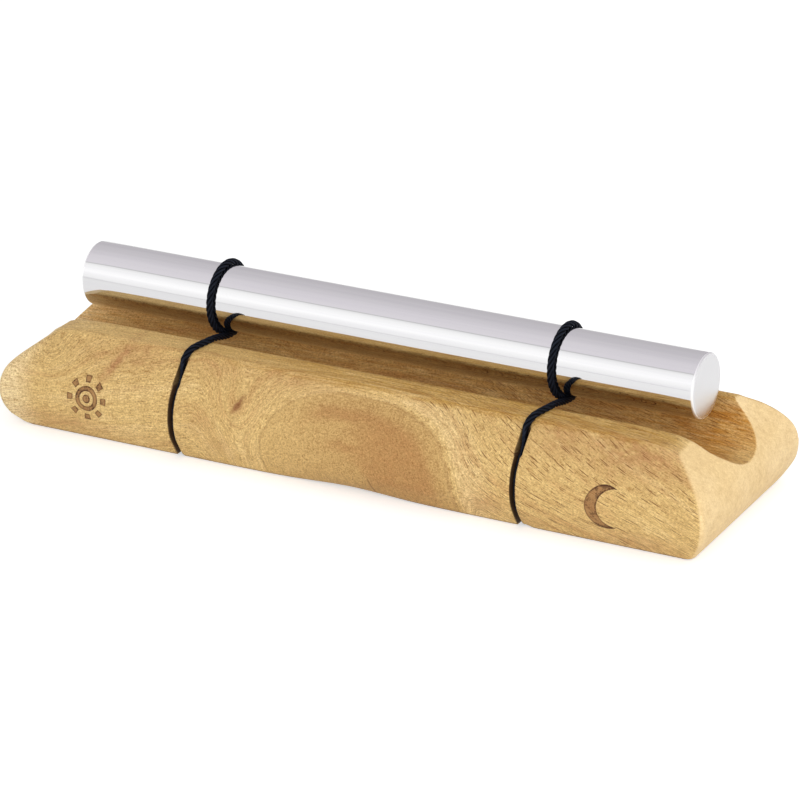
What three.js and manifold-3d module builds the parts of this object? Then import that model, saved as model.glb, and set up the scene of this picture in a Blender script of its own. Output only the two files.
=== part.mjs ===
// A solo chime bar: a solid metal rod hung in two cord loops over a grooved hardwood base.
// Millimetres. +X runs along the rod, -Y is the side that faces the player, +Z is up.
// The origin is the middle of the base's underside.
import * as THREE from 'three';
import { mergeVertices } from 'three/addons/utils/BufferGeometryUtils.js';
import Module from 'manifold-3d';

const wasm = await Module();
wasm.setup();

// Sounding rod
const rodDiameter = 20;
const rodLength = 208;
const rodChamfer = 0.4;
const rodAxisHeight = 40.6;
const rodSetback = 2; // the rod and its groove lie this far behind the middle of the base

// Wooden base
const baseLength = 238;
const baseDepth = 69.4;
const baseHeight = 31.8;
const endLean = 1.1; // how much more the ends draw in than the front does
const frontCornerRadius = 1.8;
const backCornerRadius = 1.2;

// Channel under the rod
const grooveRadius = 14.4;
const grooveFloorHeight = 19.6;
const rimRadius = 2.4;

// Saw kerfs that hold the cords, and the pockets under the base that hold their knots
const kerfWidth = 1.8;
const kerfDepth = 5.2;
const notchReach = 9; // how far down each shoulder the kerf stays wide enough for the round cord
const pocketDiameter = 11;
const pocketDepth = 7;

// Cord
const cordDiameter = 2;
const squeezedWidth = 1.2; // the cord's width and height where it is pressed into a kerf
const squeezedHeight = 3.4;
const turnPitch = 2.5; // between the two passes of the cord under the rod
const passShift = 1; // from the saw cut to halfway between the two passes, towards the right
const driftStartAngle = 38; // the passes step aside between these angles from the underside
const driftEndAngle = 85;
const knotDiameter = 5;
const knotLength = 7.5;
const knotRibDepth = 0.7;

// Clearances
const clearance = 0.3;
const cutOverrun = 3;
const leastTurnGap = 0.4;

// A free rod rings longest when it is held near its still points, this share in from each end
const holdingShare = 0.222;
const sawingShift = 0.3; // both kerfs were sawn this far to the right

// The front and back faces seen from the end: [share of half the depth, share of the height]
const frontOutlineShares = [
  [0.85, 0], [0.92, 0.123], [0.978, 0.248], [1, 0.38], [0.993, 0.5], [0.957, 0.62],
  [0.878, 0.742], [0.77, 0.865], [0.695, 0.945], [0.655, 0.985], [0.625, 1],
];
const backOutlineShares = [
  [0.903, 0], [0.97, 0.126], [0.998, 0.25], [1, 0.41], [0.975, 0.566], [0.891, 0.723],
  [0.774, 0.849], [0.64, 0.943], [0.59, 0.98], [0.544, 1],
];
// Heights at which the base is sliced, closer together where it curves most
const sliceShares = [
  0, 0.04, 0.11, 0.19, 0.28, 0.38, 0.48, 0.57, 0.66, 0.74, 0.81, 0.87, 0.92, 0.955, 0.98, 0.993, 1,
];
// Where the cord enters the still shallow kerf and where it is fully pressed in, by height
const bottomTurnShare = 0.3;
const pressedInShare = 0.74;
const surfacedShare = 0.955;
// The share of its way from the crest to the rod in which the cord steps aside
const spanDriftShare = 0.5;

const rodRadius = rodDiameter / 2;
const cordRadius = cordDiameter / 2;
const halfDepth = baseDepth / 2;
const holdingReach = rodLength * (1 / 2 - holdingShare);
const [leftPlane, rightPlane] = [sawingShift - holdingReach, sawingShift + holdingReach];
const turnRadius = rodRadius + clearance + cordRadius;
const cordSink = kerfDepth - clearance - squeezedHeight / 2; // cord centre below the wood's face

const colours = {
  wood: { color: 0xd9ae6a, roughness: 0.62, metalness: 0 },
  metal: { color: 0xd6d5d8, roughness: 0.2, metalness: 1 },
  cord: { color: 0x10131d, roughness: 0.8, metalness: 0 },
};

function finish(name) {
  return new THREE.MeshStandardMaterial(colours[name]);
}

// Reach of a face at a height, from its outline, read off a smooth curve through the points
function reachAt(outlineShares, heightShare) {
  const last = outlineShares.length - 1;
  let i = 0;
  while (i < last - 1 && outlineShares[i + 1][1] < heightShare) i += 1;
  const at = (k) => outlineShares[Math.min(Math.max(k, 0), last)];
  const slope = (k) => {
    const [before, after] = [at(k - 1), at(k + 1)];
    return (after[0] - before[0]) / (after[1] - before[1]);
  };
  const [a, b] = [at(i), at(i + 1)];
  const span = b[1] - a[1];
  const t = (heightShare - a[1]) / span;
  const rise = (b[0] - a[0]) / span;
  // Steep near the top, where the outline flattens: the slopes there stay within the chord's
  const m0 = Math.abs(slope(i)) > 3 * Math.abs(rise) ? 3 * rise : slope(i);
  const m1 = Math.abs(slope(i + 1)) > 3 * Math.abs(rise) ? 3 * rise : slope(i + 1);
  const t2 = t * t;
  const t3 = t2 * t;
  const reach = (2 * t3 - 3 * t2 + 1) * a[0] + (t3 - 2 * t2 + t) * span * m0
    + (3 * t2 - 2 * t3) * b[0] + (t3 - t2) * span * m1;
  return reach * halfDepth;
}

const frontReach = (heightShare) => reachAt(frontOutlineShares, heightShare);
const backReach = (heightShare) => reachAt(backOutlineShares, heightShare);
const endReach = (heightShare) => baseLength / 2 - endLean * (halfDepth - frontReach(heightShare));

// Joins rings of equal point counts into one closed skin with flat ends
function skinFromRings(rings) {
  const count = rings[0].length;
  const points = rings.flat();
  const faces = [];
  for (let k = 0; k + 1 < rings.length; k += 1) {
    for (let i = 0; i < count; i += 1) {
      const j = (i + 1) % count;
      const [a, b, c, d] = [k * count + i, k * count + j, (k + 1) * count + j, (k + 1) * count + i];
      faces.push(a, b, c, a, c, d);
    }
  }
  for (const [start, turn] of [[0, -1], [(rings.length - 1) * count, 1]]) {
    const middle = new THREE.Vector3();
    for (let i = 0; i < count; i += 1) middle.add(points[start + i]);
    points.push(middle.divideScalar(count));
    for (let i = 0; i < count; i += 1) {
      const j = (i + 1) % count;
      if (turn > 0) faces.push(points.length - 1, start + i, start + j);
      else faces.push(points.length - 1, start + j, start + i);
    }
  }
  const geometry = new THREE.BufferGeometry().setFromPoints(points);
  geometry.setIndex(faces);
  return geometry;
}

// Solids and cuts
function toSolid(geometry) {
  const bare = geometry.clone();
  bare.deleteAttribute('normal');
  bare.deleteAttribute('uv');
  const merged = mergeVertices(bare);
  return new wasm.Manifold(new wasm.Mesh({
    numProp: 3,
    vertProperties: new Float32Array(merged.attributes.position.array),
    triVerts: new Uint32Array(merged.index.array),
  }));
}

function toGeometry(solid) {
  const mesh = solid.getMesh();
  const geometry = new THREE.BufferGeometry();
  geometry.setAttribute('position', new THREE.BufferAttribute(mesh.vertProperties, 3));
  geometry.setIndex(new THREE.BufferAttribute(mesh.triVerts, 1));
  geometry.computeVertexNormals();
  return geometry;
}

// Extrudes an outline drawn in Y and Z along X, centred on x
function plate(outline, thickness, x) {
  const shape = new THREE.Shape(outline.map(([y, z]) => new THREE.Vector2(y, z)));
  const geometry = new THREE.ExtrudeGeometry(shape, { depth: thickness, bevelEnabled: false });
  const along = new THREE.Matrix4().makeBasis(
    new THREE.Vector3(0, 1, 0), new THREE.Vector3(0, 0, 1), new THREE.Vector3(1, 0, 0),
  );
  geometry.applyMatrix4(along);
  geometry.translate(x - thickness / 2, 0, 0);
  return geometry;
}

// Base block: a rounded rectangle at each height, drawn in towards the top and the underside
function blockSlice(heightShare) {
  const end = endReach(heightShare);
  const front = frontReach(heightShare);
  const back = backReach(heightShare);
  const z = heightShare * baseHeight;
  const steps = 4;
  const corners = [
    [end, -front, 1, -1, frontCornerRadius, -90],
    [end, back, 1, 1, backCornerRadius, 0],
    [-end, back, -1, 1, backCornerRadius, 90],
    [-end, -front, -1, -1, frontCornerRadius, 180],
  ];
  const ring = [];
  for (const [x, y, sideX, sideY, radius, startAngle] of corners) {
    for (let i = 0; i <= steps; i += 1) {
      const angle = THREE.MathUtils.degToRad(startAngle + (90 * i) / steps);
      ring.push(new THREE.Vector3(
        x - sideX * radius + radius * Math.cos(angle),
        y - sideY * radius + radius * Math.sin(angle),
        z,
      ));
    }
  }
  return ring;
}

// Channel: a round floor, then walls whose upper rims roll over into the top of the base.
// Each rim's arc touches the channel's arc from outside.
function rimCentre() {
  const height = baseHeight - rimRadius;
  const rise = height - grooveFloorHeight - grooveRadius;
  return { offset: Math.sqrt((grooveRadius + rimRadius) ** 2 - rise ** 2), height, rise };
}

function grooveOutline() {
  const centreHeight = grooveFloorHeight + grooveRadius;
  const rim = rimCentre();
  const touch = Math.atan2(rim.rise, rim.offset); // angle of the line between the two centres
  const rimSteps = 5;
  const floorSteps = 20;
  const right = [];
  for (let i = 0; i <= rimSteps; i += 1) {
    const angle = Math.PI / 2 + ((Math.PI / 2 + touch) * i) / rimSteps;
    right.push([rim.offset + rimRadius * Math.cos(angle), rim.height + rimRadius * Math.sin(angle)]);
  }
  const outline = [];
  outline.push([rim.offset, baseHeight + cutOverrun], ...right);
  for (let i = 1; i < floorSteps; i += 1) {
    const angle = touch - ((Math.PI + 2 * touch) * i) / floorSteps;
    outline.push([grooveRadius * Math.cos(angle), centreHeight + grooveRadius * Math.sin(angle)]);
  }
  outline.push(...right.map(([y, z]) => [-y, z]).reverse(), [-rim.offset, baseHeight + cutOverrun]);
  return outline.map(([y, z]) => [y + rodSetback, z]);
}

// Cord route on one side of the rod, in Y and Z, from the knot out to the crest of the base
function faceNormal(reach, heightShare) {
  const step = 0.01;
  const [low, high] = [Math.max(heightShare - step, 0), Math.min(heightShare + step, 1)];
  const run = reach(high) - reach(low);
  const climb = (high - low) * baseHeight;
  const length = Math.hypot(run, climb);
  return [climb / length, -run / length];
}

function sunkPoint(side, heightShare, sink) {
  const reach = side < 0 ? frontReach : backReach;
  const [outward, upward] = faceNormal(reach, heightShare);
  return [side * (reach(heightShare) - sink * outward), heightShare * baseHeight - sink * upward];
}

// Heights at which the cord's route up a side is set out, from the bottom corner to the crest
const runShares = [bottomTurnShare, 0.38, 0.47, 0.56, 0.65, pressedInShare, 0.8, 0.86, 0.915, surfacedShare];
const crestHeight = baseHeight + clearance + cordRadius;

// The cord is pressed in fully at the first height, and lies on the wood at the last
function pressedShare(heightShare) {
  return 1 - THREE.MathUtils.smoothstep(heightShare, pressedInShare, surfacedShare);
}

function sideRoute(side) {
  const route = [];
  const bottomHeight = cordSink;
  const wallStart = sunkPoint(side, bottomTurnShare, cordSink);
  const turnIn = wallStart[1] - bottomHeight;
  const bottomEnd = [wallStart[0] - side * turnIn, bottomHeight];
  const bottomStart = [side * (knotLength / 2 + clearance), bottomHeight];
  const bottomSteps = 6;
  for (let i = 0; i <= bottomSteps; i += 1) {
    const t = i / bottomSteps;
    route.push([bottomStart[0] + (bottomEnd[0] - bottomStart[0]) * t, bottomHeight, 1]);
  }
  // Round the bottom corner on a quarter ellipse that meets the wall run
  const cornerSteps = 4;
  for (let i = 1; i < cornerSteps; i += 1) {
    const angle = (Math.PI / 2) * (i / cornerSteps);
    route.push([
      bottomEnd[0] + side * turnIn * Math.sin(angle),
      bottomHeight + turnIn * (1 - Math.cos(angle)),
      1,
    ]);
  }
  for (const heightShare of runShares) {
    const pressed = pressedShare(heightShare);
    const sink = pressed * cordSink - (1 - pressed) * (clearance + cordRadius);
    route.push([...sunkPoint(side, heightShare, sink), pressed]);
  }
  const reach = side < 0 ? frontReach : backReach;
  route.push([side * reach(1), crestHeight, 0]);
  return route;
}

// The span runs straight from the rim of the channel, which it rolls over, to the turn under the rod
function spanEnds(side) {
  const rim = rimCentre();
  const roll = rimRadius + clearance + cordRadius;
  const [across, down] = [rim.offset, rodAxisHeight - rim.height];
  const lean = Math.atan2(across, down) - Math.acos((turnRadius + roll) / Math.hypot(across, down));
  const steps = 3;
  const overRim = [];
  for (let i = 0; i <= steps; i += 1) {
    const angle = (lean * i) / steps;
    overRim.push([
      rodSetback + side * (rim.offset - roll * Math.sin(angle)), rim.height + roll * Math.cos(angle),
    ]);
  }
  return { overRim, lean };
}

// The turn: in from the front, under, up the back, over, down the front, under, out to the back.
// It steps sideways only near the underside, where its two passes lie side by side.
const driftStart = THREE.MathUtils.degToRad(driftStartAngle);
const driftEnd = THREE.MathUtils.degToRad(driftEndAngle);

const frontPassOffset = passShift + turnPitch / 2;
const backPassOffset = passShift - turnPitch / 2;

function turnOffset(angle) {
  const fullTurn = 2 * Math.PI;
  const leaving = 1 - THREE.MathUtils.smoothstep(angle, driftStart, driftEnd);
  const arriving = THREE.MathUtils.smoothstep(angle, fullTurn - driftEnd, fullTurn - driftStart);
  return leaving * frontPassOffset + arriving * backPassOffset;
}

function cordRoute(x) {
  const route = [];
  const place = ([y, z, pressed = 0], offset) => ({ at: new THREE.Vector3(x + offset, y, z), pressed });
  const onTurn = (angle) => [
    rodSetback + turnRadius * Math.sin(angle), rodAxisHeight - turnRadius * Math.cos(angle),
  ];
  // From the knot up to the crest, then over the rim and across to the turn, stepping sideways on the way
  const halfRoute = (side, offset) => {
    const points = sideRoute(side).map((point) => place(point, 0));
    const { overRim, lean } = spanEnds(side);
    const touch = onTurn(side * lean);
    const steps = 5;
    const across = [points.at(-1).at.toArray().slice(1), ...overRim];
    for (let i = 1; i <= steps; i += 1) {
      across.push([0, 1].map((k) => THREE.MathUtils.lerp(overRim.at(-1)[k], touch[k], i / steps)));
    }
    const travelled = [0];
    for (let i = 1; i < across.length; i += 1) {
      const run = Math.hypot(across[i][0] - across[i - 1][0], across[i][1] - across[i - 1][1]);
      travelled.push(travelled.at(-1) + run);
    }
    for (let i = 1; i < across.length - 1; i += 1) {
      const t = travelled[i] / travelled.at(-1);
      points.push(place(across[i], offset * THREE.MathUtils.smoothstep(t, 0, spanDriftShare)));
    }
    return { points, lean };
  };
  const front = halfRoute(-1, frontPassOffset);
  const back = halfRoute(1, backPassOffset);
  route.push(...front.points);
  const turnSteps = 40;
  const last = 2 * Math.PI + back.lean;
  for (let i = 0; i <= turnSteps; i += 1) {
    const angle = THREE.MathUtils.lerp(-front.lean, last, i / turnSteps);
    route.push(place(onTurn(angle), turnOffset(angle)));
  }
  route.push(...back.points.reverse());
  return route;
}

// Sweeps the cord's section, round where it is free and narrow where it is pressed into a kerf
function cordGeometry(route) {
  const sides = 8;
  const across = new THREE.Vector3(1, 0, 0);
  const rings = route.map(({ at, pressed }, i) => {
    const before = route[Math.max(i - 1, 0)].at;
    const after = route[Math.min(i + 1, route.length - 1)].at;
    const tangent = after.clone().sub(before).normalize();
    const wide = across.clone().addScaledVector(tangent, -across.dot(tangent)).normalize();
    const tall = tangent.clone().cross(wide);
    const halfWidth = THREE.MathUtils.lerp(cordRadius, squeezedWidth / 2, Math.sqrt(pressed));
    const halfHeight = THREE.MathUtils.lerp(cordRadius, squeezedHeight / 2, pressed);
    const ring = [];
    for (let k = 0; k < sides; k += 1) {
      const angle = (2 * Math.PI * (k + 0.5)) / sides;
      ring.push(at.clone()
        .addScaledVector(wide, halfWidth * Math.cos(angle))
        .addScaledVector(tall, halfHeight * Math.sin(angle)));
    }
    return ring;
  });
  return skinFromRings(rings);
}

// Prints how near the cord comes to itself, on points along it that are over a turn's width apart
function reportCord(name, route) {
  let length = 0;
  const lengths = route.map(({ at }, i) => {
    if (i > 0) length += at.distanceTo(route[i - 1].at);
    return length;
  });
  const dense = [];
  const fill = 6;
  for (let i = 0; i + 1 < route.length; i += 1) {
    for (let k = 0; k < fill; k += 1) {
      const t = k / fill;
      dense.push({
        at: route[i].at.clone().lerp(route[i + 1].at, t),
        along: lengths[i] + (lengths[i + 1] - lengths[i]) * t,
      });
    }
  }
  let gap = Infinity;
  for (const a of dense) {
    for (const b of dense) {
      if (b.along - a.along > 2 * turnRadius) gap = Math.min(gap, a.at.distanceTo(b.at) - cordDiameter);
    }
  }
  const word = gap > leastTurnGap ? 'clear' : 'TOO CLOSE';
  console.log(`${name}: length ${length.toFixed(1)} mm, least gap to itself ${gap.toFixed(2)} mm, ${word}`);
}

// Kerf: everything outside the cord's inner side, in one thin plate, wider at the shoulders
function kerfOutline() {
  const depth = squeezedHeight / 2 + clearance;
  const innerSide = (side) => {
    const route = sideRoute(side);
    return route.map(([y, z, pressed], i) => {
      const [y0, z0] = route[Math.max(i - 1, 0)];
      const [y1, z1] = route[Math.min(i + 1, route.length - 1)];
      const length = Math.hypot(y1 - y0, z1 - z0);
      const inward = THREE.MathUtils.lerp(cordRadius + clearance, depth, pressed);
      return [y - (side * inward * (z1 - z0)) / length, z + (side * inward * (y1 - y0)) / length];
    });
  };
  const around = halfDepth + cutOverrun;
  const [front, back] = [innerSide(-1), innerSide(1)];
  const above = baseHeight + cutOverrun;
  return [
    ...back, [back.at(-1)[0], above], [around, above], [around, -cutOverrun],
    [-around, -cutOverrun], [-around, above], [front.at(-1)[0], above], ...front.reverse(),
  ];
}

function shoulderBlock(x, side) {
  const width = cordDiameter + 2 * clearance;
  const top = baseHeight + cutOverrun;
  const outer = side * (halfDepth + cutOverrun);
  const outline = [[0, top], [outer, top], [outer, baseHeight - notchReach], [0, baseHeight - notchReach]];
  return toSolid(plate(side < 0 ? outline.reverse() : outline, width, x));
}

function kerfCutter(x) {
  const outline = kerfOutline();
  const narrow = toSolid(plate(outline, kerfWidth, x));
  const wide = toSolid(plate(outline, cordDiameter + 2 * clearance, x));
  const shoulders = shoulderBlock(x, -1).add(shoulderBlock(x, 1));
  return narrow.add(wide.intersect(shoulders));
}

function pocketCutter(x) {
  const depth = pocketDepth + cutOverrun;
  const geometry = new THREE.CylinderGeometry(pocketDiameter / 2, pocketDiameter / 2, depth, 28);
  geometry.rotateX(Math.PI / 2);
  geometry.translate(x, 0, pocketDepth - depth / 2);
  return toSolid(geometry);
}

function woodBase() {
  let solid = toSolid(skinFromRings(sliceShares.map(blockSlice)));
  solid = solid.subtract(toSolid(plate(grooveOutline(), baseLength + 2 * cutOverrun, 0)));
  for (const x of [leftPlane, rightPlane]) {
    solid = solid.subtract(kerfCutter(x)).subtract(pocketCutter(x));
  }
  return toGeometry(solid);
}

function chimeBar() {
  const half = rodLength / 2;
  const profile = [
    [0, -half], [rodRadius - rodChamfer, -half], [rodRadius, -half + rodChamfer],
    [rodRadius, half - rodChamfer], [rodRadius - rodChamfer, half], [0, half],
  ];
  const geometry = new THREE.LatheGeometry(profile.map(([r, h]) => new THREE.Vector2(r, h)), 64);
  geometry.rotateZ(-Math.PI / 2);
  return geometry;
}

// Knot: a barrel of three wraps round the two cord ends, its axis along the kerf
function knot() {
  const wraps = 3;
  const stepsPerWrap = 4;
  const steps = wraps * stepsPerWrap;
  const profile = [new THREE.Vector2(0, -knotLength / 2)];
  for (let i = 0; i <= steps; i += 1) {
    const bulge = Math.abs(Math.sin((Math.PI * i) / stepsPerWrap));
    const radius = knotDiameter / 2 - knotRibDepth * (1 - bulge);
    profile.push(new THREE.Vector2(radius, knotLength * (i / steps - 1 / 2)));
  }
  profile.push(new THREE.Vector2(0, knotLength / 2));
  return new THREE.LatheGeometry(profile, 16);
}

function piece(name, geometry, look) {
  const mesh = new THREE.Mesh(geometry, finish(look));
  mesh.name = name;
  return mesh;
}

const chime = new THREE.Group();
chime.add(piece('wood_base', woodBase(), 'wood'));
const rod = piece('chime_bar', chimeBar(), 'metal');
rod.position.set(0, rodSetback, rodAxisHeight);
chime.add(rod);
for (const [side, x] of [['left', leftPlane], ['right', rightPlane]]) {
  const route = cordRoute(x);
  reportCord(`${side}_cord`, route);
  chime.add(piece(`${side}_cord`, cordGeometry(route), 'cord'));
  const tied = piece(`${side}_cord_knot`, knot(), 'cord');
  tied.position.set(x, 0, cordSink);
  chime.add(tied);
}

export default chime;
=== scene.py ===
"""The looks of the chime bar: a polished rod in two twisted cord loops over a grooved block of pale wood.

Sizes are in millimetres, as in the part's source, and become metres where a mesh is made.
"""

import math

import bmesh
import bpy
import numpy as np
from mathutils import Matrix, Vector


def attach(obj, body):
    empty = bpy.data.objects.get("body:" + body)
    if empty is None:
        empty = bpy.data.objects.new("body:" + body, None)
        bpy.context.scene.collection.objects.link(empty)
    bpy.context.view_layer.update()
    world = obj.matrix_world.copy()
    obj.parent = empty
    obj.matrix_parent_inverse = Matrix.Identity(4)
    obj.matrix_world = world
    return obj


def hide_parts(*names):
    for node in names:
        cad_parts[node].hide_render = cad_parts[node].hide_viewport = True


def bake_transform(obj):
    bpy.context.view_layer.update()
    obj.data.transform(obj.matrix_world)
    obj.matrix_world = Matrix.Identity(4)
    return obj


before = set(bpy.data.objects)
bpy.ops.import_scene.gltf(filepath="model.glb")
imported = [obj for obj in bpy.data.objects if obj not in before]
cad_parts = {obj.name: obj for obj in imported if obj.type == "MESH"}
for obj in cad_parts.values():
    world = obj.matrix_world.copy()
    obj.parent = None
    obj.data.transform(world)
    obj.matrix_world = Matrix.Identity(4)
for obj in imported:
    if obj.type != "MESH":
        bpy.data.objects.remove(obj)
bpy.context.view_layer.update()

MM = 0.001
ROUND = 2 * math.pi

# Rod
ROD_RADIUS = 10.0
ROD_LENGTH = 208.0
ROD_CHAMFER = 0.7
SHORT_AT_RIGHT = 0.6  # the rod seen in the photograph ends this much earlier
ROD_HEIGHT = 40.6
ROD_SETBACK = 2.0

# Base
BASE_LENGTH = 238.0
HALF_DEPTH = 34.7
BASE_HEIGHT = 31.8
END_LEAN = 1.1
FRONT_CORNER = 1.8
BACK_CORNER = 1.2
GROOVE_RADIUS = 14.4
GROOVE_FLOOR = 19.6
RIM_RADIUS = 2.4
KERF_WIDTH = 1.8
KERF_DEPTH = 5.2
NOTCH_REACH = 9.0  # how deep the kerf's shoulders are opened for the round cord
POCKET_RADIUS = 5.5
POCKET_DEPTH = 7.0

# Cord
CORD_RADIUS = 1.08
SQUEEZED_HEIGHT = 3.4
FRONT_PASS = 1.6  # how far to the right of its kerf the cord's front half runs under the rod
BACK_PASS = 0.1
# The front half's step to the right: distance before it touches the rod, share of FRONT_PASS
STEP_ASIDE = [(0, 1.0), (7, 1.38), (13.5, 1.62), (18.3, 1.45), (22.8, 0.56), (26.5, 0.0)]
SAG = 0.85  # how far the front half hangs below the rod's underside
SAG_REACH = (2.0, 11.0)  # before it touches the rod
SAG_ANGLE = math.radians(60)
# Where on its turn round the rod the cord changes from one pass to the other
DRIFT_START = math.radians(38)
DRIFT_END = math.radians(85)
CLEARANCE = 0.3
CORD_LAY = 11.0  # length of one full twist of the strands
STRANDS = 5
STRAND_RADIUS = 0.4
CORE_SHARE = 1.5  # the core's radius as a share of a strand's
PLANES_MIDDLE = 0.3
STILL_SHARE = 0.222  # a cord's place as a share of the rod's length, from its end
CORD_PLANES = [PLANES_MIDDLE + side * ROD_LENGTH * (0.5 - STILL_SHARE) for side in (-1, 1)]
LEFT_PLANE, RIGHT_PLANE = CORD_PLANES
BITE = 0.25  # the soft cord gives a little where it lies on wood or metal
TURN_RADIUS = ROD_RADIUS + CORD_RADIUS - BITE
CORD_SINK = KERF_DEPTH - CLEARANCE - SQUEEZED_HEIGHT / 2
CORD_STEP = 0.45
BEND_FROM, BEND_TO = 16, 4  # a stretch measured from the rod's axis; the ends worked out from it for each half cord are not used
KNOT_LENGTH = 7.5
KNOT_RADIUS = 2.5
KNOT_WRAPS = 3
WRAP_SINK = 0.85  # the wraps' middle lies this far inside the knot's radius
WRAP_INSET = 0.9  # and this far from its ends
WRAP_STRAND, WRAP_LAY = 0.44, 4.0
TAIL_STRAND, TAIL_LAY = 0.525, 5.0

# Outlines of the front and back faces: share of half the depth, share of the height
FRONT_OUTLINE = [
    (0.85, 0), (0.92, 0.123), (0.978, 0.248), (1, 0.38), (0.993, 0.5), (0.957, 0.62),
    (0.878, 0.742), (0.77, 0.865), (0.695, 0.945), (0.655, 0.985), (0.625, 1),
]
BACK_OUTLINE = [
    (0.903, 0), (0.97, 0.126), (0.998, 0.25), (1, 0.41), (0.975, 0.566), (0.891, 0.723),
    (0.774, 0.849), (0.64, 0.943), (0.59, 0.98), (0.544, 1),
]
# The cord turns up at the foot, starts to leave the kerf, and is out of it: shares of the height
BOTTOM_TURN = 0.3
PRESSED_IN = 0.79
SURFACED = 0.955
RUN_SHARES = [BOTTOM_TURN, 0.38, 0.47, 0.56, 0.66, 0.73, PRESSED_IN, 0.84, 0.885, 0.925, SURFACED]


def smoothstep(value, low, high):
    t = np.clip((value - low) / (high - low), 0, 1)
    return t * t * (3 - 2 * t)


def lerp(a, b, t):
    return a + (b - a) * t


def placed(name, data):
    item = bpy.data.objects.new(name, data)
    bpy.context.collection.objects.link(item)
    return item


# Camera, fitted to the photograph: degrees, millimetres and shares of the sensor's width
CAMERA_TURN, CAMERA_TILT, CAMERA_ROLL = 28.749, 23.694, -1.356
CAMERA_PLACE = (585.2, -1061.4, 549.4)
SENSOR_WIDTH = 36
FOCAL_SHARE = 4381 / 800


def make_camera():
    turn, tilt, roll = (math.radians(a) for a in (CAMERA_TURN, CAMERA_TILT, CAMERA_ROLL))
    right = Vector((math.cos(turn), math.sin(turn), 0))
    back = Vector((math.sin(turn) * math.cos(tilt), -math.cos(turn) * math.cos(tilt), math.sin(tilt)))
    up = back.cross(right)
    rolled_right = right * math.cos(roll) + up * math.sin(roll)
    rolled_up = up * math.cos(roll) - right * math.sin(roll)
    camera = placed("camera", bpy.data.cameras.new("camera"))
    turned = Matrix((rolled_right, rolled_up, back)).transposed().to_4x4()
    camera.matrix_world = Matrix.Translation(Vector(CAMERA_PLACE) * MM) @ turned
    camera.data.sensor_width = SENSOR_WIDTH
    camera.data.lens = SENSOR_WIDTH * FOCAL_SHARE
    camera.data.clip_end = 20
    bpy.context.scene.camera = camera


make_camera()


# Node trees: one method adds any node, and Value turns Python expressions into Math nodes
class Value:
    def __init__(self, tree, socket):
        self.tree = tree
        self.socket = socket

    def _math(self, operation, *terms, clamp=False):
        node = self.tree.add("Math", {"operation": operation, "use_clamp": clamp}, dict(enumerate(terms)))
        return Value(self.tree, node.outputs[0])

    def __add__(self, other):
        return self._math("ADD", self, other)

    def __sub__(self, other):
        return self._math("SUBTRACT", self, other)

    def __rsub__(self, other):
        return self._math("SUBTRACT", other, self)

    def __mul__(self, other):
        return self._math("MULTIPLY", self, other)

    def __truediv__(self, other):
        return self._math("DIVIDE", self, other)

    def __pow__(self, other):
        return self._math("POWER", self, other)

    def __abs__(self):
        return self._math("ABSOLUTE", self)

    def __neg__(self):
        return self * -1

    __radd__ = __add__
    __rmul__ = __mul__

    def apply(self, operation, *terms):
        return self._math(operation, self, *terms)

    def clamped(self):
        return self._math("ADD", self, 0, clamp=True)

    def step(self, low, high):
        node = self.tree.add(
            "MapRange",
            {"interpolation_type": "SMOOTHSTEP"},
            {"Value": self, "From Min": low, "From Max": high, "To Min": 0.0, "To Max": 1.0},
        )
        return Value(self.tree, node.outputs[0])

    def fade(self, low, high):
        return 1 - self.step(low, high)

    def most(self, other):
        return self.apply("MAXIMUM", other)

    def least(self, other):
        return self.apply("MINIMUM", other)


def hypot(*offs):
    return sum(off * off for off in offs).apply("SQRT")


def spot(*offs):
    """1 where every distance is 0, falling away softly round it."""
    return (-sum(off * off for off in offs)).apply("EXPONENT")


# Kinds of node that geometry trees take from the shader trees
SHARED_NODES = ("Math", "VectorMath", "MapRange", "CombineXYZ", "SeparateXYZ", "Mix")


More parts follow.
